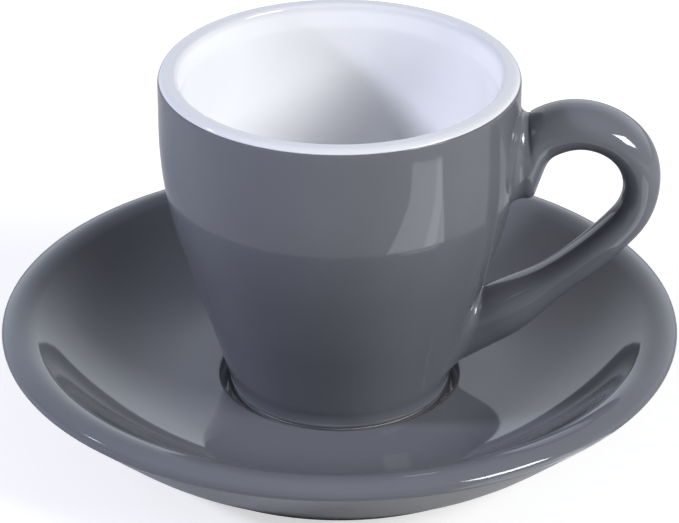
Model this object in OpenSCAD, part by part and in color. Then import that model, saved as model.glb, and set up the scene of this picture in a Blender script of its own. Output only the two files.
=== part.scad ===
// Espresso cup with a loop handle, standing in the well of its saucer.
// The origin is the centre of the saucer's foot, on the table. The handle points along +X.
// Every clay surface lies one coat of glaze inside the glazed surface that the sizes describe.

/* [Saucer] */
// Diameter over the saucer's lip
saucer_d = 117; // [110:0.5:130]
// Height of the crest of the rim above the table
saucer_h = 19.8; // [19:0.1:21]
// Height of the flat dish floor above the table
dish_floor_h = 8.1; // [7.6:0.1:9]
// Width of the rim all round, from the saucer's edge in to the flat floor
rim_w = 24.5; // [22:0.1:28]
// Slope of the wall on the dish side
dish_slope = 43; // [38:0.5:46]
// Radius of the soft roll along the top of the rim
roll_r = 4.5; // [4:0.1:5.5]
// How far the crest of the roll lies in from the saucer's edge
crest_in = 3.1; // [2.5:0.1:3.8]
// Radius of the rounded outer lip
lip_r = 1.3; // [1:0.1:1.8]
// How far the outside of the foot ring lies in from the saucer's edge
foot_in = 21.2; // [19:0.1:24]
// Slope of the underside where it reaches the foot ring
foot_slope = 27; // [22:0.5:32]
// Radius of the bend that flattens the underside towards the foot ring
under_bend_r = 40; // [30:1:48]
// Height of the upright outer side of the foot ring
saucer_foot_h = 0.6; // [0.5:0.05:1.2]
// Width of the saucer's foot ring
saucer_foot_w = 3.9; // [3:0.1:6]
// Height of the glazed recess inside the saucer's foot ring
saucer_recess_h = 2.8; // [2:0.1:3]
// Radius where the foot ring meets the underside and the recess
saucer_foot_fillet_r = 0.6; // [0.5:0.1:1.2]

/* [Well] */
// Depth of the well below the dish floor
well_depth = 1.6; // [1.2:0.1:2]
// Gap between the cup's foot bead and the wall of the well
well_gap = 1.9; // [1:0.1:3]
// Slope of the wall of the well
well_slope = 55; // [45:1:70]
// Radius of the soft upper and lower edges of the well
well_edge_r = 1; // [0.8:0.1:1.2]

/* [Cup] */
// Height of the cup from its foot to the top of the rim
cup_h = 59.2; // [56:0.1:66]
// Diameter over the rim
cup_d = 61.1; // [58:0.1:68]
// Thickness of the wall, glazed on both sides
wall_t = 3.7; // [3.4:0.1:4.5]
// Height of the upright band below the top of the rim
band_h = 9.7; // [6:0.1:14]
// Radius of the long bend from the upright band to the leaning wall
wall_bend_r = 72; // [60:1:90]
// Lean of the lower wall from the vertical
wall_lean = 17.5; // [14:0.5:19]
// Radius of the outer edge of the rim
rim_out_r = 1.5; // [1.2:0.1:1.8]
// Radius of the inner edge of the rim
rim_in_r = 1.1; // [0.9:0.1:1.5]
// How far round the outer edge of the rim the grey coat climbs
coat_edge_angle = 30; // [0:1:60]
// Height of the cup's inner floor above its foot
cup_floor_h = 5; // [4.6:0.1:7]
// Radius of the corner between the inner floor and the wall
hollow_r = 9; // [6:0.5:12]

/* [Cup foot] */
// Radius of the bead of glaze round the foot
bead_r = 0.6; // [0.5:0.05:0.8]
// How far the bead stands out of the leaning wall
bead_out = 0.2; // [0.1:0.01:0.22]
// Height of bare clay that shows below the bead
foot_show = 0.5; // [0.3:0.05:0.8]
// Width of the cup's bare foot ring
cup_foot_w = 2.6; // [2:0.1:4]
// Height of the glazed recess inside the cup's foot ring
cup_recess_h = 1.4; // [1:0.1:1.8]

/* [Handle] */
// Distance from the cup's axis to the outermost point of the handle
handle_reach = 54.3; // [52:0.1:57]
// Radius of the finger loop, measured on the handle's centreline
loop_r = 10.7; // [10:0.1:12]
// Height of the centre of the loop above the cup's foot
loop_h = 40.1; // [38:0.1:42]
// Height at which the top of the upper root meets the wall
root_top_h = 52.2; // [50:0.1:54]
// Height of the blunt lower end of the upper root
root_low_h = 37.3; // [35:0.1:38]
// Radius of the corner at that lower end
root_tip_r = 1.5; // [1:0.1:2]
// Angle on the loop at which the outside of the upper root leaves it for the wall
root_out_angle = 118; // [112:1:124]
// Angle on the loop at which the finger side of the upper root leaves it
root_in_angle = 162; // [155:1:168]
// Angle on the loop at which the long lower arm takes over
arm_angle = -40; // [-45:1:-36]
// Radius of the gentle curve of the lower arm
arm_r = 89; // [80:1:110]
// Length of the arm that runs straight into the wall
arm_straight_l = 6; // [5:0.1:8]
// Thickness over the top of the loop
crown_t = 8.4; // [7.5:0.1:9.5]
// Thickness of the handle at the grip
grip_t = 5.9; // [5:0.1:7]
// Thickness where the lower arm meets the wall
lower_root_t = 9; // [8:0.1:10.5]
// Width where the upper root meets the wall
upper_root_w = 11.6; // [10:0.1:14]
// Width over the top of the loop
crown_w = 11; // [10:0.1:12]
// Width of the handle at the grip
grip_w = 9.2; // [8:0.1:11]
// Width where the lower arm meets the wall
lower_root_w = 12; // [11:0.1:14]
// Reach of the fillets at the sides of both roots
side_fillet_r = 2.4; // [1.5:0.1:3]
// Reach of the fillets above and below both roots
end_fillet_r = 1.2; // [0.8:0.1:1.6]

/* [Glaze] */
// Thickness of every coat of glaze
glaze_t = 0.35; // [0.2:0.05:0.38]
// Height of bare clay at the bottom of the saucer's foot ring
saucer_foot_bare = 0.4; // [0.35:0.05:0.5]
// Bevel on the bare edges of both foot rings
foot_bevel = 0.25; // [0.1:0.05:0.3]

/* [Hidden] */
$fn = 128;
// Largest distance between a true arc and the chords that stand for it
arc_sag = 0.012;
// Cuts run this far past the surface that they open
overrun = 1;

// Heights and radii of the seat
well_floor_h = dish_floor_h - well_depth;
saucer_r = saucer_d / 2;
cup_r = cup_d / 2;

// Stations of the handle, as shares of its way from the upper root to the end of the arm
station_shares = [0, 0.14, 0.42, 0.8, 1];
handle_sides = 24;
section_power = 2.4;
ring_step = 8;
tip_steps = 3;
arm_steps = 9;
// Rings of a root's fillet: how far each spreads and rises, as shares of the fillet's reach
fillet_angle = 25;
fillet_steps = 3;
sunk_shares = [1, -1];
fillet_shares = concat([[0.95, -0.15]], [for (k = [0:fillet_steps])
    let (a = fillet_angle + (90 - fillet_angle) * k / fillet_steps) [1 - sin(a), 1 - cos(a)]]);
// How far both roots run into the filled wall before they are cut to it
root_sink = 3;
// A fillet rises this much further than it spreads, but keeps within this share of the way to the next ring
rise_share = 1.4;
room_share = 0.9;

// Points along an arc about a centre, close enough together to keep to the sag
function arc(centre, r, from, to) =
    let (n = max(2, ceil(abs(to - from) / (2 * acos(1 - arc_sag / r)))))
    [for (i = [0:n]) let (a = from + (to - from) * i / n) centre + r * [cos(a), sin(a)]];

function reversed(points) = [for (i = [len(points) - 1:-1:0]) points[i]];

// Slope of a smooth curve through the stations of a table, level at its two ends
function slope_at(at, values, i) =
    i == 0 || i == len(at) - 1 ? 0 : (values[i + 1] - values[i - 1]) / (at[i + 1] - at[i - 1]);

// A value that flows through the stations of a table
function flow(x, at, values, i = 0) =
    x >= at[i + 1] && i < len(at) - 2 ? flow(x, at, values, i + 1) :
    let (w = at[i + 1] - at[i], u = (x - at[i]) / w, rest = 1 - u)
    values[i] * (1 + 2 * u) * rest * rest + values[i + 1] * (3 - 2 * u) * u * u
    + w * u * rest * (slope_at(at, values, i) * rest - slope_at(at, values, i + 1) * u);

// Outside of the cup, in radius and height above its foot
bend_c = [cup_r - wall_bend_r, cup_h - band_h];
rim_out_c = [cup_r - rim_out_r, cup_h - rim_out_r];
rim_in_c = [cup_r - wall_t + rim_in_r, cup_h - rim_in_r];
// Radius of the leaning lower wall at a height
function wall_radius(h) = bend_c[0] + (wall_bend_r - (bend_c[1] - h) * sin(wall_lean)) / cos(wall_lean);
// Radius of the outside at any height below the rim
function outside_radius(h) =
    h >= bend_c[1] ? cup_r :
    h <= bend_c[1] - wall_bend_r * sin(wall_lean) ? wall_radius(h) :
    bend_c[0] + sqrt(pow(wall_bend_r, 2) - pow(bend_c[1] - h, 2));
bead_h = foot_show + bead_r;
bead_c = [wall_radius(bead_h) - (bead_r - bead_out) / cos(wall_lean), bead_h];
// Angle on the bead, inset by d, at which the leaning wall runs into it
function bead_start(d) = acos((bead_r - bead_out - d) / (bead_r - d)) - wall_lean;
// The outside at a depth d below the glazed surface, from the given angle on the rim to the bead
function cup_outside(d, from) = concat(
    arc(rim_out_c, rim_out_r - d, from, 0),
    arc(bend_c, wall_bend_r - d, 0, -wall_lean),
    arc(bead_c, bead_r - d, bead_start(d), -90));

// Hollow of the cup
hollow_h = cup_floor_h + hollow_r;
hollow_c = [wall_radius(hollow_h) - (wall_t + hollow_r) / cos(wall_lean), hollow_h];
// The hollow at a depth d below the glazed surface, from the rim down to the axis
function cup_inside(d) = concat(
    arc(rim_in_c, rim_in_r - d, 90, 180),
    arc(bend_c, wall_bend_r - wall_t + d, 0, -wall_lean),
    arc(hollow_c, hollow_r + d, -wall_lean, -90),
    [[0, cup_floor_h - d]]);

// Foot of the cup
cup_foot_in_r = bead_c[0] - cup_foot_w;

// Seat of the cup in the saucer: the well follows the cup's bead
well_r = bead_c[0] + bead_r + well_gap;
well_mid_h = (well_floor_h + dish_floor_h) / 2;
well_rise = well_edge_r * (1 - cos(well_slope));
well_run = well_edge_r * sin(well_slope) + (well_mid_h - well_floor_h - well_rise) / tan(well_slope);
well_low_c = [well_r - well_run, well_floor_h + well_edge_r];
well_high_c = [well_r + well_run, dish_floor_h - well_edge_r];

// Dish, rim and underside of the saucer
roll_c = [saucer_r - crest_in, saucer_h - roll_r];
lip_c = roll_c + [crest_in - lip_r, sqrt(pow(roll_r - lip_r, 2) - pow(crest_in - lip_r, 2))];
lip_angle = atan2(lip_c[1] - roll_c[1], lip_c[0] - roll_c[0]);
// The slope meets the level of the floor here, and the bend leads from the floor into it
slope_top = roll_c + roll_r * [-sin(dish_slope), cos(dish_slope)];
slope_foot_x = slope_top[0] - (slope_top[1] - dish_floor_h) / tan(dish_slope);
dish_bend_r = (slope_foot_x - saucer_r + rim_w) / tan(dish_slope / 2);
dish_c = [saucer_r - rim_w, dish_floor_h + dish_bend_r];
// The underside is an arc off the fillet of the foot ring, then a straight line up to the lip
saucer_foot_r = saucer_r - foot_in;
foot_fillet_c = [saucer_foot_r + saucer_foot_fillet_r, saucer_foot_h];
under_end = foot_slope - 90;
under_c = foot_fillet_c - (under_bend_r + saucer_foot_fillet_r) * [cos(under_end), sin(under_end)];
under_to_lip = lip_c - under_c;
under_angle = atan2(under_to_lip[1], under_to_lip[0]) + asin((under_bend_r - lip_r) / norm(under_to_lip)) - 90;
saucer_foot_in_r = saucer_foot_r - saucer_foot_w;
recess_fillet_c = [saucer_foot_in_r - saucer_foot_fillet_r, saucer_recess_h - saucer_foot_fillet_r];

// The saucer's upper surface and underside at a depth d below the glaze, from the axis to the foot
function saucer_outside(d) = concat(
    [[0, well_floor_h - d]],
    arc(well_low_c, well_edge_r + d, -90, well_slope - 90),
    arc(well_high_c, well_edge_r - d, well_slope + 90, 90),
    arc(dish_c, dish_bend_r + d, -90, dish_slope - 90),
    arc(roll_c, roll_r - d, dish_slope + 90, lip_angle),
    arc(lip_c, lip_r - d, lip_angle, under_angle),
    arc(under_c, under_bend_r - d, under_angle, under_end),
    arc(foot_fillet_c, saucer_foot_fillet_r + d, under_end + 180, 180));

// The recess inside the saucer's foot ring at a depth d, from the axis to the foot
function saucer_recess(d) = concat(
    [[0, saucer_recess_h + d]],
    arc(recess_fillet_c, saucer_foot_fillet_r + d, 90, 0));

// Centreline of the handle, in radius and height above the cup's foot
loop_c = [handle_reach - grip_t / 2 - loop_r, loop_h];
arm_c = loop_c - (arm_r - loop_r) * [cos(arm_angle), sin(arm_angle)];
function on_circle(centre, r, a) = centre + r * [cos(a), sin(a)];

// The arm meets the wall at the angle where its centreline does, found by halving
function arm_gap(a) = let (p = on_circle(arm_c, arm_r, a)) p[0] - outside_radius(p[1]);
function arm_meets_wall(low, high, n = 24) =
    let (mid = (low + high) / 2)
    n == 0 ? mid : arm_gap(mid) > 0 ? arm_meets_wall(low, mid, n - 1) : arm_meets_wall(mid, high, n - 1);
arm_end = arm_meets_wall(-80, arm_angle) + arm_straight_l / arm_r * 180 / PI;
arm_dir = [sin(arm_end), 0, -cos(arm_end)];
loop_l = loop_r * (root_out_angle - arm_angle) * PI / 180;
arm_l = arm_r * (arm_angle - arm_end) * PI / 180;

// Thickness and width of the handle at the stations
thicknesses = [crown_t, crown_t, grip_t, grip_t, lower_root_t];
widths = [crown_w, crown_w, grip_w, grip_w, lower_root_w];

// The finger side of the upper root: out of the wall, round its lower end, up a straight and into the loop
tip_heading = [sin(root_in_angle), -cos(root_in_angle)];
tip_from = on_circle(loop_c, loop_r - crown_t / 2 + root_tip_r, root_in_angle);
tip_c = tip_from + (root_low_h + root_tip_r - tip_from[1]) / tip_heading[1] * tip_heading;
root_in_steps = ceil((root_in_angle - root_out_angle) / ring_step);
root_in_side = concat(
    [for (k = [0:tip_steps]) on_circle(tip_c, root_tip_r, -90 + (root_in_angle - 90) * k / tip_steps)],
    [for (k = [0:root_in_steps - 1])
        on_circle(loop_c, loop_r - crown_t / 2, root_in_angle - (root_in_angle - root_out_angle) * k / root_in_steps)]);
// The top of the upper root bends from level at the wall to the line of the loop
root_out_from = [tip_c[0], root_top_h];
root_out_to = on_circle(loop_c, loop_r + crown_t / 2, root_out_angle);
root_out_corner = root_out_to
    - (root_out_to[1] - root_top_h) / -cos(root_out_angle) * [sin(root_out_angle), -cos(root_out_angle)];
function root_out_side(u) =
    (1 - u) * (1 - u) * root_out_from + 2 * u * (1 - u) * root_out_corner + u * u * root_out_to;

// One rounded section of the handle, flattened a little on its four sides, and its outward directions
function signed_pow(v, p) = sign(v) * pow(abs(v), p);
section_angles = [for (j = [0:handle_sides - 1]) 360 * j / handle_sides];
function section(half_t, half_w) = [for (a = section_angles)
    [signed_pow(cos(a), 2 / section_power) * half_t, signed_pow(sin(a), 2 / section_power) * half_w]];
function section_out(half_t, half_w) = [for (a = section_angles)
    let (v = [signed_pow(cos(a), 2 - 2 / section_power) / half_t, signed_pow(sin(a), 2 - 2 / section_power) / half_w])
    v / norm(v)];
// Sets a point of a section between the outer and inner edge of the handle
function set_between(outer, inner, p) =
    let (mid = (outer + inner) / 2, up = (outer - inner) / norm(outer - inner))
    [mid[0] + up[0] * p[0], p[1], mid[1] + up[1] * p[0]];

// A ring of the handle between its outer and inner edge, at a depth d below the glazed surface
function ring(outer, inner, w, d) =
    [for (p = section(norm(outer - inner) / 2 - d, w / 2 - d)) set_between(outer, inner, p)];

// Follows a direction from a point to the wall, at a depth d below its glazed surface
function to_wall(p, dir, d, n = 6) =
    n == 0 ? p : to_wall(p - dir * (norm([p[0], p[1]]) - outside_radius(p[2]) + d) / dir[0], dir, d, n - 1);

// The flared rings between the wall and the ring that stands off it
function root_rings(outer, inner, w, dir, d) =
    let (
        half_t = norm(outer - inner) / 2 - d,
        half_w = w / 2 - d,
        points = section(half_t, half_w),
        outs = section_out(half_t, half_w)
    )
    [for (s = concat([sunk_shares], fillet_shares)) [for (j = [0:handle_sides - 1])
        let (
            reach = end_fillet_r * pow(outs[j][0], 2) + side_fillet_r * pow(outs[j][1], 2) + d,
            base = set_between(outer, inner, points[j] + s[0] * reach * outs[j]),
            on_wall = to_wall(base, dir, d)
        )
        s == sunk_shares ? on_wall + dir * root_sink :
        on_wall - dir * s[1] * min(rise_share * reach, room_share * norm(base - on_wall))]];

// Rings along a stretch of a circle, from one angle to another, over a stretch of the handle's stations
function circle_rings(centre, r, from, to, share_from, share_to, steps, first, d) =
    [for (k = [first:steps])
        let (
            a = from + (to - from) * k / steps,
            share = share_from + (share_to - share_from) * k / steps,
            half_t = flow(share, station_shares, thicknesses) / 2
        )
        ring(on_circle(centre, r + half_t, a), on_circle(centre, r - half_t, a),
            flow(share, station_shares, widths), d)];

// All the rings of the handle at a depth d, from inside the wall at the upper root to inside it at the lower one
function handle_rings(d) =
    let (
        loop_share = loop_l / (loop_l + arm_l),
        root_count = len(root_in_side),
        lower = lower_root_t / 2
    )
    concat(
        root_rings(root_out_from, root_in_side[0], upper_root_w, [-1, 0, 0], d),
        [for (k = [0:root_count - 1]) let (u = k / root_count)
            ring(root_out_side(u), root_in_side[k], upper_root_w + (crown_w - upper_root_w) * u, d)],
        circle_rings(loop_c, loop_r, root_out_angle, arm_angle, 0, loop_share,
            ceil((root_out_angle - arm_angle) / ring_step), 0, d),
        circle_rings(arm_c, arm_r, arm_angle, arm_end, loop_share, 1, arm_steps, 1, d),
        reversed(root_rings(on_circle(arm_c, arm_r + lower, arm_end), on_circle(arm_c, arm_r - lower, arm_end),
            lower_root_w, arm_dir, d)));

// The handle swept through its rings
module handle_sweep(d) {
    rings = handle_rings(d);
    count = len(rings);
    sides = [for (i = [0:count - 2], j = [0:handle_sides - 1])
        let (k = (j + 1) % handle_sides, a = i * handle_sides, b = a + handle_sides)
        for (face = [[a + j, b + k, b + j], [a + j, a + k, b + k]]) face];
    first_cap = [for (j = [handle_sides - 1:-1:0]) j];
    last_cap = [for (j = [0:handle_sides - 1]) (count - 1) * handle_sides + j];
    polyhedron([for (r = rings, p = r) p], concat([first_cap, last_cap], sides));
}

// Lifts what it holds from the table to the floor of the well
module on_well() {
    translate([0, 0, well_floor_h]) children();
}

// The clay of the cup with its hollow and recess filled, running past the foot by a length
module cup_plug(past) {
    rotate_extrude() polygon(concat(
        [[0, cup_h - glaze_t]],
        cup_outside(glaze_t, 90),
        [[bead_c[0], -past], [0, -past]]));
}

// Fired clay of the cup, with its bare foot ring
module cup_body() {
    color("linen") on_well() rotate_extrude() polygon(concat(
        cup_outside(glaze_t, 90),
        [[bead_c[0], foot_bevel], [bead_c[0] - foot_bevel, 0]],
        [[cup_foot_in_r + foot_bevel, 0], [cup_foot_in_r, foot_bevel]],
        [[cup_foot_in_r, cup_recess_h + glaze_t], [0, cup_recess_h + glaze_t]],
        reversed(cup_inside(glaze_t))));
}

// White coat inside the cup and over the rim
module cup_liner_glaze() {
    outer = concat(reversed(cup_inside(0)), arc(rim_out_c, rim_out_r, 90, coat_edge_angle));
    inner = concat(arc(rim_out_c, rim_out_r - glaze_t, coat_edge_angle, 90), cup_inside(glaze_t));
    color("white") on_well() rotate_extrude() polygon(concat(outer, inner));
}

// Grey coat outside the cup, in its recess and all over the handle
module cup_outer_glaze() {
    color("slategray") on_well() {
        difference() {
            union() {
                rotate_extrude() polygon(concat(
                    [[0, rim_out_c[1]], rim_out_c],
                    cup_outside(0, coat_edge_angle),
                    [[0, foot_show]]));
                handle_sweep(0);
            }
            cup_plug(overrun);
            handle_sweep(glaze_t);
        }
        translate([0, 0, cup_recess_h]) cylinder(r = cup_foot_in_r, h = glaze_t);
    }
}

// Fired clay of the handle, luted on to the wall at both roots
module handle() {
    color("linen") on_well() difference() {
        handle_sweep(glaze_t);
        cup_plug(overrun);
    }
}

// Fired clay of the saucer, with its bare foot ring
module saucer_body() {
    foot_out = saucer_foot_r - glaze_t;
    foot_in = saucer_foot_in_r + glaze_t;
    color("linen") rotate_extrude() polygon(concat(
        saucer_outside(glaze_t),
        [[foot_out, foot_bevel], [foot_out - foot_bevel, 0]],
        [[foot_in + foot_bevel, 0], [foot_in, foot_bevel]],
        reversed(saucer_recess(glaze_t))));
}

// Grey coat over the saucer, down to the foot ring on the outside and inside it
module saucer_glaze() {
    clay = concat(saucer_outside(glaze_t), [[saucer_foot_r - glaze_t, saucer_foot_bare]]);
    recess_clay = concat(saucer_recess(glaze_t), [[saucer_foot_in_r + glaze_t, saucer_foot_bare]]);
    color("slategray") {
        rotate_extrude() polygon(concat(
            saucer_outside(0),
            [[saucer_foot_r, saucer_foot_bare]],
            reversed(clay)));
        rotate_extrude() polygon(concat(
            saucer_recess(0),
            [[saucer_foot_in_r, saucer_foot_bare]],
            reversed(recess_clay)));
    }
}

saucer_body();
saucer_glaze();
cup_body();
cup_liner_glaze();
cup_outer_glaze();
handle();
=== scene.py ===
# %% [markdown]
# # An espresso cup standing in its saucer
# This file dresses a CAD model of a glazed cup and saucer. The CAD part already
# holds the clay, the coats of glaze and the joint that lifts the cup off. Here clay
# and coats are made again as finer meshes and given their finish, and a camera, a
# floor and lamps are set. The first cell loads the CAD part, which stays fixed.

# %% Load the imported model
from math import acos, atan2, ceil, cos, degrees, hypot, pi, radians, sin, sqrt, tan

import bmesh
import bpy
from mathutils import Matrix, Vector


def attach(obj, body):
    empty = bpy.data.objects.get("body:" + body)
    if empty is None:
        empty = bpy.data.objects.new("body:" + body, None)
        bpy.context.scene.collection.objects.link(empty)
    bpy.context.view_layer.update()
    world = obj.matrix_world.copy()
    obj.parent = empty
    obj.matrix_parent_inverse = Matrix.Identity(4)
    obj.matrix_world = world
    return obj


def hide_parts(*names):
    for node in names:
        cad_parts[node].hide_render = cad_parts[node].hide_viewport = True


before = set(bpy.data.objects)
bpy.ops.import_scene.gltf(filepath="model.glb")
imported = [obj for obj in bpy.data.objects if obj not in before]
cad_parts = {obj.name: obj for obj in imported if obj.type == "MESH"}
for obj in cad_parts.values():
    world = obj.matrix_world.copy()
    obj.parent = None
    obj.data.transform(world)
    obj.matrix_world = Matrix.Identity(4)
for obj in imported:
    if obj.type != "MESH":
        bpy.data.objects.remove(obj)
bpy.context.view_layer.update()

# %% [markdown]
# ## Units
# The part is drawn in millimetres, as a potter measures, and Blender works in metres.
# One number turns the first into the second. Each mesh stays in millimetres until it
# is handed over, and so do the places of camera and lamps and the sizes of patterns.

# %% Millimetres to metres
MM = 0.001
scene = bpy.context.scene

# %% [markdown]
# ## The camera
# The photograph looks down on the set from the front with a long lens. A long lens
# keeps the ellipses of the rim and of the saucer nearly alike, so the distance
# matters as much as the angle. The place comes from a fit to those ellipses.

# %% Camera
PLACE, TILT, TURN = (46.77, -534.55, 316.2), 61.88, 5    # in mm and degrees, from the fit
SENSOR, LENS = 36, 187.2    # width of the film and length of the lens, in mm
NEAR, FAR = 10, 20000    # what lies between is seen, in mm

camera = bpy.data.objects.new("camera", bpy.data.cameras.new("camera"))
scene.collection.objects.link(camera)
scene.camera = camera
camera.location = Vector(PLACE) * MM
camera.rotation_euler = (radians(TILT), 0, radians(TURN))
camera.data.sensor_width, camera.data.lens = SENSOR, LENS
camera.data.clip_start, camera.data.clip_end = NEAR * MM, FAR * MM
print("camera distance in mm:", round(camera.location.length / MM))

# %% [markdown]
# ## Drawing a profile
# A pot is a profile turned round an axis, and a potter's profile is a chain of arcs.
# One vertex is the pencil: `spin` swings it round the centre of each arc and leaves
# the line behind. It lies in the plane of X and Z, so the axis of each swing is Y.

# %% A profile drawn with one vertex
SAME = 1e-4    # places closer than this many millimetres are one place


def point(radius, height):
    """A place in the plane of the profile."""
    return Vector((radius, 0, height))


def polar(centre, radius, angle):
    """A point at an angle on a circle, in radius and height."""
    return (centre[0] + radius * cos(radians(angle)), centre[1] + radius * sin(radians(angle)))


def line_to(bm, last, place):
    """Draws a straight line to a place, and returns the vertex there."""
    if last is not None and (last.co - place).length < SAME:
        return last
    new = bm.verts.new(place)
    if last is not None:
        bm.edges.new((last, new))
    return new


def arc_to(bm, last, centre, radius, start, end, step):
    """Draws a line to the start of an arc and then the arc, in steps of so many degrees."""
    last = line_to(bm, last, point(*polar(centre, radius, start)))
    made = bmesh.ops.spin(
        bm, geom=[last], cent=point(*centre), axis=(0, -1, 0), angle=radians(end - start),
        steps=max(2, ceil(abs(end - start) / step)), dvec=(0, 0, 0), use_duplicate=False)
    return made["geom_last"][0]


def draw(bm, path, step, last=None):
    """Draws a path of points (radius, height) and arcs (centre, radius, start, end)."""
    for part in path:
        if len(part) == 2:
            last = line_to(bm, last, point(*part))
        else:
            last = arc_to(bm, last, *part, step)
    return last


def turned_back(path):
    """The same path from its other end."""
    return [part if len(part) == 2 else (part[0], part[1], part[3], part[2])
            for part in reversed(path)]


# %% [markdown]
# ## Turning a profile
# The outline of one coat runs down its outside and back up its inside, and a full
# spin makes it solid. Long straight lines are cut into shorter ones first, so that
# the smooth shading of a bend doesn't creep out over the flat beside it.

# %% A mesh turned round the Z axis, and a finished piece
TURNS = 192    # steps in a full turn
LONGEST = 2.5    # the most that a straight line measures before it is cut, in mm


def turn(bm, lift):
    """Spins all the edges in a full turn, merges the seam and the pole, and lifts the result."""
    for edge in [e for e in bm.edges if e.calc_length() > LONGEST]:
        bmesh.ops.subdivide_edges(bm, edges=[edge], cuts=int(edge.calc_length() / LONGEST))
    bmesh.ops.spin(bm, geom=bm.verts[:] + bm.edges[:], cent=(0, 0, 0), axis=(0, 0, 1),
                   angle=2 * pi, steps=TURNS, dvec=(0, 0, 0), use_merge=True, use_duplicate=False)
    bmesh.ops.remove_doubles(bm, verts=bm.verts[:], dist=SAME)
    bmesh.ops.recalc_face_normals(bm, faces=bm.faces[:])
    bmesh.ops.translate(bm, verts=bm.verts[:], vec=(0, 0, lift))


def finished(name, bm, body, slot, *nodes):
    """Turns a mesh drawn in millimetres into a piece on a body, in place of CAD nodes."""
    bmesh.ops.scale(bm, vec=(MM, MM, MM), verts=bm.verts[:])
    for face in bm.faces:
        face.smooth = True
    mesh = bpy.data.meshes.new(name)
    loose = sum(not e.is_manifold for e in bm.edges)
    print(name, "has", len(bm.faces), "faces and", loose, "open edges, volume in mm3:",
          round(bm.calc_volume(signed=True) / MM ** 3, 1))
    bm.to_mesh(mesh)
    bm.free()
    piece = bpy.data.objects.new(name, mesh)
    scene.collection.objects.link(piece)
    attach(piece, body)
    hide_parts(*nodes)
    return piece


# %% [markdown]
# ## The saucer's sizes
# The saucer is jiggered: a flat floor with a shallow well, a steep rim with a soft
# roll, and a foot ring below. Each bend follows from its neighbours as in the CAD
# source. Three forms are softer here. The dish has a longer bend and a gentler slope,
# because the dark reflections along its wall end in points. The well's wall leans more
# and stands closer to the cup's foot. The bend of the underside is longer.

# %% Saucer sizes, in millimetres
GLAZE_T = 0.35
SAUCER_R, SAUCER_H, DISH_FLOOR_H = 58.495, 19.8, 8.1
RIM_W, DISH_SLOPE, ROLL_R, CREST_IN, LIP_R = 31, 40.5, 4.5, 3.1, 1.3
FOOT_IN, FOOT_SLOPE, UNDER_BEND_R = 21.2, 27, 52
FOOT_R = SAUCER_R - FOOT_IN
FOOT_H, FOOT_W, RECESS_H, FOOT_FILLET_R, FOOT_BARE = 0.6, 3.9, 2.8, 0.6, 0.4
WELL_DEPTH, WELL_GAP, WELL_SLOPE, WELL_EDGE_R = 1.6, 1.2, 42, 1
WELL_FLOOR_H = DISH_FLOOR_H - WELL_DEPTH
FOOT_BEVEL = 0.25
print("floor of the well in mm above the table:", WELL_FLOOR_H)

# %% [markdown]
# ## The cup's sizes
# The cup's wall is upright at the rim, bends over slowly and leans in to a narrow
# foot with a small bead of glaze. Inside, the top few millimetres flare out above a
# soft crease, where the jigger's tool was lifted. The saucer's well is drawn round
# the foot's bead, so the cup comes first.

# %% Cup sizes, in millimetres above the cup's own foot
CUP_H, CUP_R, WALL_T = 59.2, 30.55, 3.75
BAND_H, WALL_BEND_R, WALL_LEAN = 9.7, 72, 17.5    # upright band, long bend, leaning wall
RIM_OUT_R, RIM_IN_R, COAT_EDGE = 1.5, 0.8, 30    # two bends, and where white meets grey
FLARE, FLARE_H, CREASE_R = 10, 4.6, 6    # inside: degrees, height, and bend of the crease
CUP_FLOOR_H, HOLLOW_R = 5, 9
BEAD_R, BEAD_OUT, FOOT_SHOW, CUP_FOOT_W, CUP_RECESS_H = 0.6, 0.2, 0.5, 2.6, 1.4

bend_c = (CUP_R - WALL_BEND_R, CUP_H - BAND_H)
rim_out_c = (CUP_R - RIM_OUT_R, CUP_H - RIM_OUT_R)
crease_c = (CUP_R - WALL_T + CREASE_R, CUP_H - FLARE_H)
rim_in_c = (crease_c[0] + (sin(radians(FLARE)) * (FLARE_H - RIM_IN_R) + RIM_IN_R - CREASE_R)
            / cos(radians(FLARE)), CUP_H - RIM_IN_R)
lean = radians(WALL_LEAN)


def wall_radius(height):
    """Radius of the leaning lower wall at a height."""
    return bend_c[0] + (WALL_BEND_R - (bend_c[1] - height) * sin(lean)) / cos(lean)


def outside_radius(height):
    """Radius of the cup's outside at any height below the rim."""
    if height >= bend_c[1]:
        return CUP_R
    if height <= bend_c[1] - WALL_BEND_R * sin(lean):
        return wall_radius(height)
    return bend_c[0] + sqrt(WALL_BEND_R ** 2 - (bend_c[1] - height) ** 2)


bead_h = FOOT_SHOW + BEAD_R
bead_c = (wall_radius(bead_h) - (BEAD_R - BEAD_OUT) / cos(lean), bead_h)
hollow_h = CUP_FLOOR_H + HOLLOW_R
hollow_c = (wall_radius(hollow_h) - (WALL_T + HOLLOW_R) / cos(lean), hollow_h)
print("foot bead radius in mm:", round(bead_c[0] + BEAD_R, 3))


# %% [markdown]
# ## The saucer's coat
# The grey glaze covers all of the saucer but the ring that it stands on in the kiln,
# where it is wiped off so that the pot doesn't stick to the shelf. So the coat is two
# closed shells: one over the outside, and one in the recess within the foot ring.

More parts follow.
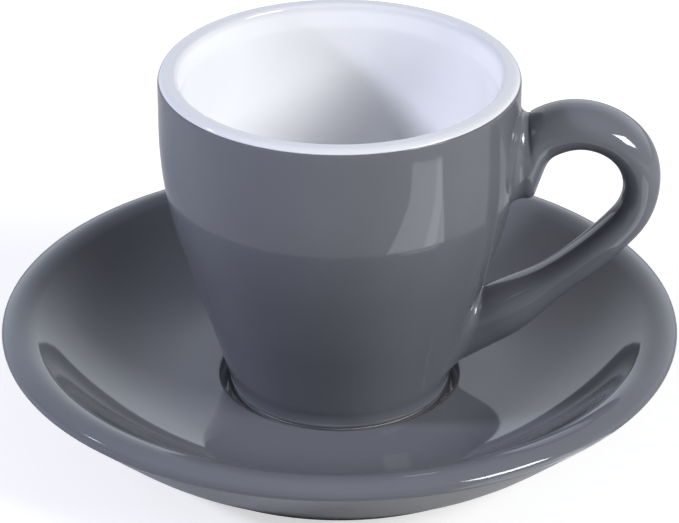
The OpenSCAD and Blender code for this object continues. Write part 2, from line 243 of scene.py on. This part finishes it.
# %% Outline of the saucer at a depth below the glazed surface
def saucer_outside(d):
    """From the middle of the well over the rim to the foot ring."""
    well_r = bead_c[0] + BEAD_R + WELL_GAP
    slope = radians(WELL_SLOPE)
    middle = (WELL_FLOOR_H + DISH_FLOOR_H) / 2
    straight_h = middle - WELL_FLOOR_H - WELL_EDGE_R * (1 - cos(slope))
    run = WELL_EDGE_R * sin(slope) + straight_h / tan(slope)
    roll_c = (SAUCER_R - CREST_IN, SAUCER_H - ROLL_R)
    lip_rise = sqrt((ROLL_R - LIP_R) ** 2 - (CREST_IN - LIP_R) ** 2)
    lip_c = (SAUCER_R - LIP_R, roll_c[1] + lip_rise)
    lip_angle = degrees(atan2(lip_rise, CREST_IN - LIP_R))
    top = polar(roll_c, ROLL_R, DISH_SLOPE + 90)
    foot_x = top[0] - (top[1] - DISH_FLOOR_H) / tan(radians(DISH_SLOPE))
    dish_r = (foot_x - SAUCER_R + RIM_W) / tan(radians(DISH_SLOPE / 2))
    foot_c = (FOOT_R + FOOT_FILLET_R, FOOT_H)
    under_end = FOOT_SLOPE - 90
    under_c = polar(foot_c, -(UNDER_BEND_R + FOOT_FILLET_R), under_end)
    to_lip = (lip_c[0] - under_c[0], lip_c[1] - under_c[1])
    under_start = degrees(atan2(to_lip[1], to_lip[0])
                          + acos(-(UNDER_BEND_R - LIP_R) / hypot(*to_lip))) - 180
    return [
        (0, WELL_FLOOR_H - d),
        ((well_r - run, WELL_FLOOR_H + WELL_EDGE_R), WELL_EDGE_R + d, -90, WELL_SLOPE - 90),
        ((well_r + run, DISH_FLOOR_H - WELL_EDGE_R), WELL_EDGE_R - d, WELL_SLOPE + 90, 90),
        ((SAUCER_R - RIM_W, DISH_FLOOR_H + dish_r), dish_r + d, -90, DISH_SLOPE - 90),
        (roll_c, ROLL_R - d, DISH_SLOPE + 90, lip_angle),
        (lip_c, LIP_R - d, lip_angle, under_start),
        (under_c, UNDER_BEND_R - d, under_start, under_end),
        (foot_c, FOOT_FILLET_R + d, under_end + 180, 180),
        (FOOT_R - d, FOOT_BARE)]


def saucer_recess(d):
    """From the middle of the recess to the inside of the foot ring."""
    ring_in_r = FOOT_R - FOOT_W
    fillet_c = (ring_in_r - FOOT_FILLET_R, RECESS_H - FOOT_FILLET_R)
    return [(0, RECESS_H + d), (fillet_c, FOOT_FILLET_R + d, 90, 0), (ring_in_r + d, FOOT_BARE)]


# %% [markdown]
# Each shell is drawn in fine steps where it shows and in coarse ones where it lies on
# the clay, which no eye can see.

# %% Build the saucer's coat
FINE, COARSE = 3, 12    # degrees of arc in a step, where it shows and where clay hides it

bm = bmesh.new()
for outline in (saucer_outside, saucer_recess):
    shown = draw(bm, outline(0), FINE)
    draw(bm, turned_back(outline(GLAZE_T)), COARSE, shown)
turn(bm, 0)
saucer_coat = finished("saucer_coat", bm, "saucer", "grey_glaze", "saucer_glaze")

# %% [markdown]
# ## The cup's two coats
# The cup is white inside and grey outside. The potter pours the white glaze in and
# out again, and then dips the outside in grey up to the rim, so the two coats meet in
# a fine line on the rim's outer edge. Each coat is its own closed shell of revolution.

# %% Outlines of the cup at a depth below the glazed surface
def cup_inside(d):
    """From the rim down to the middle of the floor."""
    return [
        (rim_in_c, RIM_IN_R - d, 90, 180 - FLARE),
        (crease_c, CREASE_R - d, 180 - FLARE, 180),
        (bend_c, WALL_BEND_R - WALL_T + d, 0, -WALL_LEAN),
        (hollow_c, HOLLOW_R + d, -WALL_LEAN, -90),
        (0, CUP_FLOOR_H - d)]


def cup_outside(d, start):
    """From an angle on the rim's outer edge down to the bead of the foot."""
    bead_start = degrees(acos((BEAD_R - BEAD_OUT - d) / (BEAD_R - d))) - WALL_LEAN
    return [
        (rim_out_c, RIM_OUT_R - d, start, 0),
        (bend_c, WALL_BEND_R - d, 0, -WALL_LEAN),
        (bead_c, BEAD_R - d, bead_start, -90)]


# %% [markdown]
# The white coat runs up the inside and over the rim, as far as the line where the
# grey one begins.

# %% Build the white coat inside
RIM_STEP = 6    # the rim's small radii need no finer steps

bm = bmesh.new()
shown = draw(bm, turned_back(cup_inside(0)), FINE)
shown = draw(bm, [(rim_out_c, RIM_OUT_R, 90, COAT_EDGE)], RIM_STEP, shown)
draw(bm, [(rim_out_c, RIM_OUT_R - GLAZE_T, COAT_EDGE, 90)] + cup_inside(GLAZE_T), COARSE, shown)
turn(bm, WELL_FLOOR_H)
cup_liner = finished("cup_liner", bm, "cup", "white_glaze", "cup_liner_glaze")

# %% [markdown]
# The grey coat begins at that line and ends under the bead of the foot. A flat disc
# of it lies in the recess under the cup.

# %% Build the grey coat of the wall
WALL_STEP = 0.5    # the wall's long bend needs the finest steps

bm = bmesh.new()
shown = None
for arc, step in zip(cup_outside(0, COAT_EDGE), (RIM_STEP, WALL_STEP, RIM_STEP)):
    shown = draw(bm, [arc], step, shown)
hidden = draw(bm, turned_back(cup_outside(GLAZE_T, COAT_EDGE)), COARSE, shown)
line_to(bm, hidden, point(*polar(rim_out_c, RIM_OUT_R, COAT_EDGE)))
foot_in_r = bead_c[0] - CUP_FOOT_W
draw(bm, [(0, CUP_RECESS_H), (foot_in_r, CUP_RECESS_H), (foot_in_r, CUP_RECESS_H + GLAZE_T),
          (0, CUP_RECESS_H + GLAZE_T)], COARSE)
turn(bm, WELL_FLOOR_H)
cup_coat = finished("cup_coat", bm, "cup", "grey_glaze", "cup_outer_glaze")

# %% [markdown]
# ## The handle
# The handle is pressed by itself and luted on with slip. It runs between two guide
# lines, an outer and an inner one: out of the wall, round a finger loop and down a
# long gentle arm. Its section is a rounded strap, thick over the crown, slim at the
# grip, and wide again at the lower root. A circle is extruded from station to station
# and each new ring is set between the two lines, which keeps the rings in step.

# %% Handle sizes, in millimetres above the cup's foot
LOOP_R, LOOP_X, LOOP_H = 10.9, 40.15, 40.1
ROOT_TOP_H, ROOT_LOW_H, ROOT_TIP_R, ROOT_OUT, ROOT_IN = 52.2, 37.3, 1.5, 118, 162
ARM_START, ARM_R, ARM_STRAIGHT = -40, 89, 6
STATIONS = [0, 0.14, 0.28, 0.42, 0.58, 0.8, 1]    # shares of the way from root to arm's end
THICKNESSES = [8, 7.3, 6.9, 6.15, 5.95, 6.2, 9]
WIDTHS = [11, 11, 10.2, 9.2, 9.2, 9.2, 12]
SHIFTS = [-0.3, 0, 0.35, 0.1, 0.2, 0, 0]    # how far the strap's middle runs outside the circles
UPPER_W, LOWER_T, LOWER_W, SIDE_FILLET, END_FILLET = 11.6, 9, 12, 2.4, 1.2
ROOT_INNER_R = 5.9    # the finger hole is tighter at the root than over the crown
SECTION_POWER, SIDES = 2.2, 64
ARM_STEEPEST, HALVINGS = -80, 24    # degrees at which the search starts, and its steps

loop_c = (LOOP_X, LOOP_H)
arm_c = polar(loop_c, -(ARM_R - LOOP_R), ARM_START)


def arm_reaches_wall():
    """The angle at which the arm's centreline meets the wall, found by halving."""
    low, high = ARM_STEEPEST, ARM_START
    for _ in range(HALVINGS):
        middle = (low + high) / 2
        place = polar(arm_c, ARM_R, middle)
        low, high = (low, middle) if place[0] > outside_radius(place[1]) else (middle, high)
    return middle


arm_end = arm_reaches_wall() + degrees(ARM_STRAIGHT / ARM_R)
loop_l = LOOP_R * radians(ROOT_OUT - ARM_START)
arm_l = ARM_R * radians(ARM_START - arm_end)
print("handle's way round in mm:", round(loop_l + arm_l, 1))


# %% [markdown]
# A strap that changes its thickness in straight steps shows a kink at each station,
# and a glossy glaze shows it twice. A Hermite curve through the stations flows
# through them with one slope, and it is level at both ends.

# %% Values that flow along the handle
def slope_at(values, i):
    """The slope of a row of values at a station."""
    if i in (0, len(values) - 1):
        return 0
    return (values[i + 1] - values[i - 1]) / (STATIONS[i + 1] - STATIONS[i - 1])


def flow(share, values):
    """The value at a share of the way, on a smooth curve through the stations."""
    i = max(k for k in range(len(STATIONS) - 1) if k == 0 or share >= STATIONS[k])
    width = STATIONS[i + 1] - STATIONS[i]
    u = (share - STATIONS[i]) / width
    rest = 1 - u
    return (values[i] * (1 + 2 * u) * rest * rest + values[i + 1] * (3 - 2 * u) * u * u
            + width * u * rest * (slope_at(values, i) * rest - slope_at(values, i + 1) * u))


# %% [markdown]
# At the upper root the finger side ends in a blunt lower tip, while the top bends
# level into the wall. Both lines are followed by one share from 0 at the wall to 1
# where the loop begins.

# %% The two guide lines of the upper root
TIP_SHARE, STRAIGHT_SHARE = 0.3, 0.4    # where the tip's arc and the straight after it end

heading = (sin(radians(ROOT_IN)), -cos(radians(ROOT_IN)))
inner_r = LOOP_R + SHIFTS[0] - THICKNESSES[0] / 2
tip_from = polar(loop_c, ROOT_INNER_R + ROOT_TIP_R, ROOT_IN)
tip_way = (ROOT_LOW_H + ROOT_TIP_R - tip_from[1]) / heading[1]
tip_c = (tip_from[0] + tip_way * heading[0], tip_from[1] + tip_way * heading[1])
top_from = (tip_c[0], ROOT_TOP_H)
top_to = polar(loop_c, LOOP_R + SHIFTS[0] + THICKNESSES[0] / 2, ROOT_OUT)
top_way = (top_to[1] - ROOT_TOP_H) / -cos(radians(ROOT_OUT))
top_corner = (top_to[0] - top_way * sin(radians(ROOT_OUT)), ROOT_TOP_H)
print("lower tip of the upper root in mm:", [round(v, 2) for v in tip_c])


def root_inner(share):
    """The finger side: round the tip, straight on, and round the hole."""
    if share <= TIP_SHARE:
        return polar(tip_c, ROOT_TIP_R, -90 + (ROOT_IN - 90) * share / TIP_SHARE)
    if share <= STRAIGHT_SHARE:
        start = polar(tip_c, ROOT_TIP_R, ROOT_IN - 180)
        end = polar(loop_c, ROOT_INNER_R, ROOT_IN)
        u = (share - TIP_SHARE) / (STRAIGHT_SHARE - TIP_SHARE)
        return tuple(a + (b - a) * u for a, b in zip(start, end))
    u = (share - STRAIGHT_SHARE) / (1 - STRAIGHT_SHARE)
    radius = ROOT_INNER_R + (inner_r - ROOT_INNER_R) * u * u * (3 - 2 * u)
    return polar(loop_c, radius, ROOT_IN - (ROOT_IN - ROOT_OUT) * u)


def root_outer(share):
    """The top side: one bend from level to the slope of the loop."""
    rest = 1 - share
    return tuple(rest * rest * a + 2 * share * rest * b + share * share * c
                 for a, b, c in zip(top_from, top_corner, top_to))


# %% [markdown]
# Each ring of the strap is a circle whose four quarters are pressed a little flat,
# which is a superellipse with a power just over 2.

# %% Rings of the handle
def flattened(value, power):
    """A power that keeps the value's sign."""
    return (1 if value >= 0 else -1) * abs(value) ** power


def section(half_t, half_w):
    """Points of one section, each with its outward direction, by thickness and width."""
    made = []
    power = 2 / SECTION_POWER
    for j in range(SIDES):
        c, s = cos(2 * pi * j / SIDES), sin(2 * pi * j / SIDES)
        out = (flattened(c, 2 - power) / half_t, flattened(s, 2 - power) / half_w)
        size = hypot(*out)
        made.append(((flattened(c, power) * half_t, flattened(s, power) * half_w),
                     (out[0] / size, out[1] / size)))
    return made


def between(outer, inner, place):
    """Sets a point of a section between the outer and the inner line."""
    up = Vector((outer[0] - inner[0], 0, outer[1] - inner[1])).normalized()
    middle = Vector((outer[0] + inner[0], 0, outer[1] + inner[1])) / 2
    return middle + up * place[0] + Vector((0, place[1], 0))


def ring(outer, inner, width, d):
    """One ring of the strap between the two lines, at a depth below the glazed surface."""
    half_t = hypot(outer[0] - inner[0], outer[1] - inner[1]) / 2 - d
    return [between(outer, inner, place) for place, out in section(half_t, width / 2 - d)]


WALL_TRIES = 8    # each one comes closer to the curved wall


def to_wall(place, way, d):
    """Follows a direction from a point to the wall, at a depth below its glazed surface."""
    for _ in range(WALL_TRIES):
        place = place - way * (hypot(place.x, place.y) - outside_radius(place.z) + d) / way.x
    return place


# %% [markdown]
# Where the strap meets the wall, the rings spread and sink along the handle's own
# direction until they lie on the wall: that is the fillet of slip that a potter
# smooths round with a wet finger. The last ring is sunk into the wall.

# %% The flared rings of a root
FLARE_FROM, FLARE_STEPS = 3, 10    # degrees at the wall, and steps from there
SINK, UNDER = 2.4, 0.02    # depth of the last ring in mm, and of the next as a share
RISE, MOST = 1.4, 0.9    # height of a flare for its spread, at most this share of the way

turned = [FLARE_FROM + (90 - FLARE_FROM) * k / FLARE_STEPS for k in range(FLARE_STEPS + 1)]
flare = [(1 - sin(radians(angle)), 1 - cos(radians(angle))) for angle in turned]
print("rings in a flare:", len(flare))


def root_rings(outer, inner, width, way, d):
    """Rings from inside the wall out to the ring that stands off it."""
    half_t = hypot(outer[0] - inner[0], outer[1] - inner[1]) / 2 - d
    made = []
    for spread, rise in [(1, None), (1, -UNDER)] + flare:
        loop = []
        for place, out in section(half_t, width / 2 - d):
            reach = END_FILLET * out[0] ** 2 + SIDE_FILLET * out[1] ** 2 + d
            base = between(outer, inner, [p + spread * reach * o for p, o in zip(place, out)])
            wall = to_wall(base, way, d)
            height = min(RISE * reach, MOST * (base - wall).length)
            loop.append(wall + way * SINK if rise is None else wall - way * rise * height)
        made.append(loop)
    return made


# %% [markdown]
# The whole strap is five runs of rings: the flare of the upper root, the root, the
# loop, the arm, and the flare of the lower root from its far end.

# %% All the rings, from one root to the other
RING_STEP, ROOT_STEPS, ARM_STEPS = 3, 30, 40    # degrees of the loop, and numbers of rings


def circle_rings(centre, radius, start, end, share_from, share_to, steps, d):
    """Rings along an arc, whose thickness, width and shift follow the shares."""
    made = []
    for k in range(steps + 1):
        share = share_from + (share_to - share_from) * k / steps
        angle = start + (end - start) * k / steps
        half_t = flow(share, THICKNESSES) / 2
        middle = radius + flow(share, SHIFTS)
        outer = polar(centre, middle + half_t, angle)
        inner = polar(centre, middle - half_t, angle)
        made.append(ring(outer, inner, flow(share, WIDTHS), d))
    return made


def handle_rings(d):
    """All the rings of the strap at a depth below the glazed surface."""
    loop_share = loop_l / (loop_l + arm_l)
    into_wall = Vector((sin(radians(arm_end)), 0, -cos(radians(arm_end))))
    made = root_rings(top_from, root_inner(0), UPPER_W, Vector((-1, 0, 0)), d)
    made += [ring(root_outer(k / ROOT_STEPS), root_inner(k / ROOT_STEPS),
                  UPPER_W + (WIDTHS[0] - UPPER_W) * k / ROOT_STEPS, d) for k in range(ROOT_STEPS)]
    made += circle_rings(loop_c, LOOP_R, ROOT_OUT, ARM_START, 0, loop_share,
                         ceil((ROOT_OUT - ARM_START) / RING_STEP), d)
    made += circle_rings(arm_c, ARM_R, ARM_START, arm_end, loop_share, 1, ARM_STEPS, d)[1:]
    made += root_rings(polar(arm_c, ARM_R + LOWER_T / 2, arm_end),
                       polar(arm_c, ARM_R - LOWER_T / 2, arm_end), LOWER_W, into_wall, d)[::-1]
    return made


# %% [markdown]
# `create_circle` makes the first ring with its cap, and `extrude_edge_only` makes each
# next one. The new vertices come back in no promised order, so each is found as the
# other end of the edge that grew out of the old one.

# %% Extrude the handle along its rings
def edges_of(bm, loop):
    """The edges of a closed ring of vertices."""
    return [bm.edges.get((a, b)) for a, b in zip(loop, loop[1:] + loop[:1])]


def next_ring(bm, loop):
    """Extrudes a ring of vertices, and returns the new ring in the same order."""
    grown = set(bmesh.ops.extrude_edge_only(bm, edges=edges_of(bm, loop))["geom"])
    return [next(e.other_vert(v) for e in v.link_edges if e.other_vert(v) in grown) for v in loop]


def handle_piece(name, slot, d, *nodes):
    """Extrudes the strap at a depth below the glazed surface, and finishes it as a piece."""
    bm = bmesh.new()
    loop = bmesh.ops.create_circle(bm, cap_ends=True, segments=SIDES, radius=1)["verts"]
    for k, places in enumerate(handle_rings(d)):
        loop = next_ring(bm, loop) if k else loop
        for vert, place in zip(loop, places):
            vert.co = place
    bmesh.ops.contextual_create(bm, geom=edges_of(bm, loop))
    bmesh.ops.recalc_face_normals(bm, faces=bm.faces[:])
    bmesh.ops.translate(bm, verts=bm.verts[:], vec=(0, 0, WELL_FLOOR_H))
    return finished(name, bm, "cup", slot, *nodes)


handle_coat = handle_piece("handle_coat", "grey_glaze", 0, "cup_outer_glaze")

# %% [markdown]
# ## The clay under the coats
# The clay has the same profiles one coat deeper. Of all of it only the two foot rings
# show, bare and with a small bevel from the sponge that wipes them. The clay is drawn
# again with the coats, so that each coat keeps its one thickness everywhere.

# %% Build the clay of saucer, cup and handle
def foot_ring(out_r, in_r):
    """The bare bearing face with its two bevels, from outside to inside."""
    return [(out_r, FOOT_BEVEL), (out_r - FOOT_BEVEL, 0),
            (in_r + FOOT_BEVEL, 0), (in_r, FOOT_BEVEL)]


bm = bmesh.new()
draw(bm, saucer_outside(GLAZE_T)[:-1] + foot_ring(FOOT_R - GLAZE_T, FOOT_R - FOOT_W + GLAZE_T)
     + turned_back(saucer_recess(GLAZE_T)[:-1]), FINE)
turn(bm, 0)
saucer_clay = finished("saucer_clay", bm, "saucer", "bisque", "saucer_body")

bm = bmesh.new()
draw(bm, turned_back(cup_inside(GLAZE_T)) + cup_outside(GLAZE_T, 90)
     + foot_ring(bead_c[0], foot_in_r)
     + [(foot_in_r, CUP_RECESS_H + GLAZE_T), (0, CUP_RECESS_H + GLAZE_T)], FINE)
turn(bm, WELL_FLOOR_H)
cup_clay = finished("cup_clay", bm, "cup", "bisque", "cup_body")

handle_clay = handle_piece("handle_clay", "bisque", GLAZE_T, "handle")

# %% [markdown]
# ## Colours and nodes
# Colours are picked as an eye sees them on a screen, in sRGB hex, and Blender mixes
# light in linear values, so one function turns the first into the second. Another
# adds a node with its settings and links in one line, and a few small ones make what
# all finishes share, so that a finish reads as a short list from top to bottom.

# %% Helpers for finishes
def linear(colour):
    """An sRGB hex colour as linear red, green, blue and alpha, by the curve of the standard."""
    parts = [int(colour[i:i + 2], 16) / 255 for i in (1, 3, 5)]
    return (*(p / 12.92 if p <= 0.04045 else ((p + 0.055) / 1.055) ** 2.4 for p in parts), 1)


def finish_named(name):
    """A new material with an empty node tree."""
    made = bpy.data.materials.new(name)
    made.use_nodes = True
    made.node_tree.nodes.clear()
    return made


def add(tree, kind, settings=None, **links):
    """Adds a node. A setting names or numbers a socket, or names a property. A link names a
    socket, with _ for a space, or numbers it after a _."""
    node = tree.nodes.new("ShaderNode" + kind)
    for key, value in (settings or {}).items():
        if isinstance(key, int) or key in node.inputs:
            node.inputs[key].default_value = value
        else:
            setattr(node, key, value)
    for key, output in links.items():
        socket = int(key[1:]) if key[0] == "_" else key.replace("_", " ")
        tree.links.new(output, node.inputs[socket])
    return node


def per_mm(size):
    """The scale of a pattern on Object coordinates in metres, for features of a size in mm."""
    return 1 / (size * MM)


def noise(tree, place, size, detail, roughness):
    """Cloudy noise with features of a size in mm."""
    settings = {"Scale": per_mm(size), "Detail": detail, "Roughness": roughness}
    return add(tree, "TexNoise", settings, Vector=place).outputs[0]


def two_tones(tree, factor, first, second):
    """A colour between two tones, which the mix node holds in its sockets 6 and 7."""
    return add(tree, "Mix", {"data_type": "RGBA", 6: first, 7: second}, _0=factor).outputs[2]


def bumps(tree, height, strength, depth, **links):
    """Bends the normals by a pattern with a depth in mm."""
    settings = {"Strength": strength, "Distance": depth * MM}
    return add(tree, "Bump", settings, Height=height, **links).outputs[0]


def surface(tree, colour, normal, roughness, ior):
    """Ends a finish with its colour, its bent normals, its roughness and its refraction."""
    settings = {"Roughness": roughness, "IOR": ior}
    shader = add(tree, "BsdfPrincipled", settings, Base_Color=colour, Normal=normal)
    add(tree, "OutputMaterial", Surface=shader.outputs[0])


# %% [markdown]
# ## The grey glaze
# A glossy stoneware glaze is glass with opaque grey stain in it, fired at about
# 1230 degrees. The eye sees a thin clear gloss over an even slate grey with a touch
# of blue. Three things keep it from looking like paint: its colour clouds a little
# where the coat is thicker, its surface has long soft waves from draining, which bend
# the edges of a reflection, and here and there a tiny pit is left by a gas bubble.

# %% Grey glaze
GREY, GREY_THICK = linear("#676970"), linear("#616369")
CLOUD_MM, WAVE_MM, PIT_MM = 14, 7, 2.6    # clouds of thickness, draining waves, pits apart
PIT_WIDE = 0.035    # a pit's radius as a share of the way between two
GLAZE_DEPTH, GREY_WAVES, PITS = 0.02, 0.35, 0.3    # depth in mm, and strengths of the two
GREY_ROUGH, GLASS_IOR = 0.06, 1.52

grey_glaze = finish_named("slate_grey_stoneware_glaze")
tree = grey_glaze.node_tree
place = add(tree, "TexCoord").outputs["Object"]
clouds = noise(tree, place, CLOUD_MM, detail=3, roughness=0.5)
colour = two_tones(tree, clouds, GREY, GREY_THICK)
apart = add(tree, "TexVoronoi", {"Scale": per_mm(PIT_MM)}, Vector=place).outputs["Distance"]
pits = add(tree, "MapRange", {"From Max": PIT_WIDE}, Value=apart).outputs[0]
waves = noise(tree, place, WAVE_MM, detail=1, roughness=0.4)
waved = bumps(tree, waves, GREY_WAVES, GLAZE_DEPTH)
pitted = bumps(tree, pits, PITS, GLAZE_DEPTH, Normal=waved)
surface(tree, colour, pitted, GREY_ROUGH, GLASS_IOR)

# %% [markdown]
# ## The white glaze
# The inside is a white tin glaze, opaque and as glossy as the grey. It shows a little
# of its thickness as faint clouds, and its waves are softer. Over the top of the rim
# it is painted a shade greyer: painted shade, where less light falls from above.

# %% White glaze
# the third tone is painted shade on the rim's top, not a colour of the glaze
WHITE, WHITE_THICK, WHITE_SHADED = linear("#ECEDEF"), linear("#E6E7EA"), linear("#D3D5D9")
SHADE_FROM, SHADE_TO = 1.6, 0.2    # in mm below the top of the rim, where the painted shade begins and where it is full
WHITE_WAVES, WHITE_ROUGH = 0.3, 0.07

white_glaze = finish_named("white_tin_glaze")
tree = white_glaze.node_tree
place = add(tree, "TexCoord").outputs["Object"]
height = add(tree, "SeparateXYZ", Vector=place).outputs["Z"]
rim_h = WELL_FLOOR_H + CUP_H
# painted shade: greyer towards the top of the rim
rim_shade = add(tree, "MapRange", {"From Min": (rim_h - SHADE_FROM) * MM,
                              "From Max": (rim_h - SHADE_TO) * MM}, Value=height)
clouds = noise(tree, place, CLOUD_MM, detail=2, roughness=0.5)
colour = two_tones(tree, clouds, WHITE, WHITE_THICK)
edge = add(tree, "Mix", {"data_type": "RGBA", 7: WHITE_SHADED}, _0=rim_shade.outputs[0], _6=colour)
waves = noise(tree, place, WAVE_MM, detail=1, roughness=0.4)
waved = bumps(tree, waves, WHITE_WAVES, GLAZE_DEPTH)
surface(tree, edge.outputs[2], waved, WHITE_ROUGH, GLASS_IOR)

# %% [markdown]
# ## The bare clay
# Only the foot rings show it: fired white stoneware clay, matt and finely sandy to
# the touch, because nothing glassy covers it.

# %% Bisque clay
CLAY, CLAY_DARK = linear("#EFEDEA"), linear("#E2DED8")
GRAIN_MM, TONE_MM = 0.35, 6    # sand in the clay, and clouds of tone
GRAIN_DEPTH, GRAIN = 0.06, 0.6    # depth in mm, and strength
CLAY_ROUGH, CLAY_IOR = 0.85, 1.5

bisque = finish_named("bare_stoneware_clay")
tree = bisque.node_tree
place = add(tree, "TexCoord").outputs["Object"]
clouds = noise(tree, place, TONE_MM, detail=3, roughness=0.6)
sand = noise(tree, place, GRAIN_MM, detail=4, roughness=0.6)
colour = two_tones(tree, clouds, CLAY, CLAY_DARK)
sandy = bumps(tree, sand, GRAIN, GRAIN_DEPTH)
surface(tree, colour, sandy, CLAY_ROUGH, CLAY_IOR)

# %% [markdown]
# Each coat gets its own glaze. The clay gets its bare finish all over, also where the
# glaze hides it.

# %% Give every piece its finish
for piece in (saucer_coat, cup_coat, handle_coat):
    piece.data.materials.append(grey_glaze)
cup_liner.data.materials.append(white_glaze)
for piece in (saucer_clay, cup_clay, handle_clay):
    piece.data.materials.append(bisque)
print("finishes:", [m.name for m in (grey_glaze, white_glaze, bisque)])

# %% [markdown]
# ## The floor and the white ground
# The set stands on a plain pale floor that fades into white. To the camera alone the
# floor adds some light of its own, up to paper white. To all other light it is a
# plain pale surface, so the object isn't lit more by it, and the soft shadow under
# the saucer stays.

# %% Floor
FLOOR_SIZE = 1700    # of a side, in mm, so that a low view doesn't reach its end
PALE, FLOOR_GLOW = linear("#C6C6C6"), 0.6

bm = bmesh.new()
bmesh.ops.create_grid(bm, x_segments=1, y_segments=1, size=FLOOR_SIZE / 2 * MM)
mesh = bpy.data.meshes.new("floor")
bm.to_mesh(mesh)
bm.free()
floor = bpy.data.objects.new("floor", mesh)
scene.collection.objects.link(floor)

paper = finish_named("white_paper_floor")
tree = paper.node_tree
ray = add(tree, "LightPath").outputs
plain = add(tree, "BsdfDiffuse", {"Color": PALE})
own = add(tree, "Math", {"operation": "MULTIPLY", 1: FLOOR_GLOW}, _0=ray["Is Camera Ray"])
glow = add(tree, "Emission", {"Color": (1, 1, 1, 1)}, Strength=own.outputs[0])
both = add(tree, "AddShader", _0=plain.outputs[0], _1=glow.outputs[0])
add(tree, "OutputMaterial", Surface=both.outputs[0])
mesh.materials.append(paper)
print("floor in mm:", FLOOR_SIZE)

# %% [markdown]
# ## The room
# The room gives a weak bluish light from all sides, and the camera sees it as white.
# In the gloss of the glaze its walls show: bright low down behind the set, where a
# white backdrop would stand, and dimmer above and in front.

# %% World
ROOM, ROOM_LIGHT = (0.86, 0.89, 1, 1), 0.22
WALLS, WALL_LIGHT, BACKDROP_LIGHT = (0.86, 0.91, 1, 1), 0.4, 0.8
LOW, HIGH = 0.3, 0.75    # where the backdrop begins to fade and is gone, 1 is straight up
SIDE, BACK = 0.3, 0.8    # where it begins and is whole, 1 is straight back

world = bpy.data.worlds.new("white_room")
scene.world = world
world.use_nodes = True
world.node_tree.nodes.clear()
tree = world.node_tree
ray = add(tree, "LightPath").outputs
in_gloss = add(tree, "Math", {"operation": "MAXIMUM"}, _0=ray["Is Glossy Ray"],
               _1=ray["Is Transmission Ray"])
way = add(tree, "SeparateXYZ", Vector=add(tree, "TexCoord").outputs["Generated"]).outputs
low = add(tree, "MapRange", {"From Min": LOW, "From Max": HIGH,
                             "To Min": BACKDROP_LIGHT, "To Max": 0}, Value=way["Z"])
behind = add(tree, "MapRange", {"From Min": SIDE, "From Max": BACK}, Value=way["Y"])
walls = add(tree, "Math", {"operation": "MULTIPLY_ADD", 2: WALL_LIGHT}, _0=low.outputs[0],
            _1=behind.outputs[0])
room = add(tree, "Background", {"Color": ROOM, "Strength": ROOM_LIGHT})
gloss = add(tree, "Background", {"Color": WALLS}, Strength=walls.outputs[0])
white = add(tree, "Background", {"Color": (1, 1, 1, 1), "Strength": 1})
lit = add(tree, "MixShader", _0=in_gloss.outputs[0], _1=room.outputs[0], _2=gloss.outputs[0])
seen = add(tree, "MixShader", _0=ray["Is Camera Ray"], _1=lit.outputs[0], _2=white.outputs[0])
add(tree, "OutputWorld", Surface=seen.outputs[0])
print("light from the room:", ROOM_LIGHT)

# %% [markdown]
# ## The lamps
# A wide window at the right, a little in front, gives the main light and the soft
# shadow in the cup. A smaller bluish light comes from the left. A small pane on the
# left makes the highlight on the saucer's front edge. A patch of light on the table
# with a brighter streak in it shows only in the gloss, upright on the cup's wall.
# The left light leaves no image in the gloss, because the photograph shows none.

# %% Lamps
def towards(place, aim):
    """The rotation that turns a lamp at one place towards another."""
    return (Vector(place) - Vector(aim)).to_track_quat("Z", "Y").to_euler()


def softbox(name, place, rotation, width, height, power, colour):
    """A rectangular lamp, with its place and sides in mm and its power in watts."""
    lamp = bpy.data.lights.new(name, "AREA")
    lamp.shape, lamp.size, lamp.size_y, lamp.energy = "RECTANGLE", width * MM, height * MM, power
    lamp.color = colour
    made = bpy.data.objects.new(name, lamp)
    made.location = Vector(place) * MM
    made.rotation_euler = rotation
    scene.collection.objects.link(made)
    print(name, "at", place, "with", power, "W")
    return made


MIDDLE, EDGE = (0, 0, 30), (0, 0, 20)    # aims in mm, in the cup and level with the edge
DAYLIGHT, SKY, PALE_SKY = (1, 1, 1), (0.8, 0.83, 1), (0.92, 0.95, 1)
LAMPS = {    # place, aim, width and height, power, colour
    "key": ((612, -325, 430), MIDDLE, 340, 270, 6.3, DAYLIGHT),
    "left": ((-665, -216, 418), MIDDLE, 110, 110, 5, SKY),
    "small_pane": ((-630, 11, 513), EDGE, 70, 90, 0.26, DAYLIGHT)}
PATCHES = {    # place, degrees turned, length and width, power, colour
    "light_on_the_table": ((83, -61, 1), -28, 96, 48, 0.020, PALE_SKY),
    "brighter_streak": ((90, -49, 2), -19, 96, 10, 0.0025, PALE_SKY)}

for name, (place, aim, *rest) in LAMPS.items():
    lamp = softbox(name, place, towards(place, aim), *rest)
    lamp.visible_glossy = name != "left"
for name, (place, turned, *rest) in PATCHES.items():
    patch = softbox(name, place, (pi, 0, radians(turned)), *rest)    # flat, and shines up
    patch.visible_camera = patch.visible_diffuse = False

# %% [markdown]
# ## View
# The view transform stays plain, so that a colour renders about as it is written.

scene.view_settings.view_transform = "Standard"
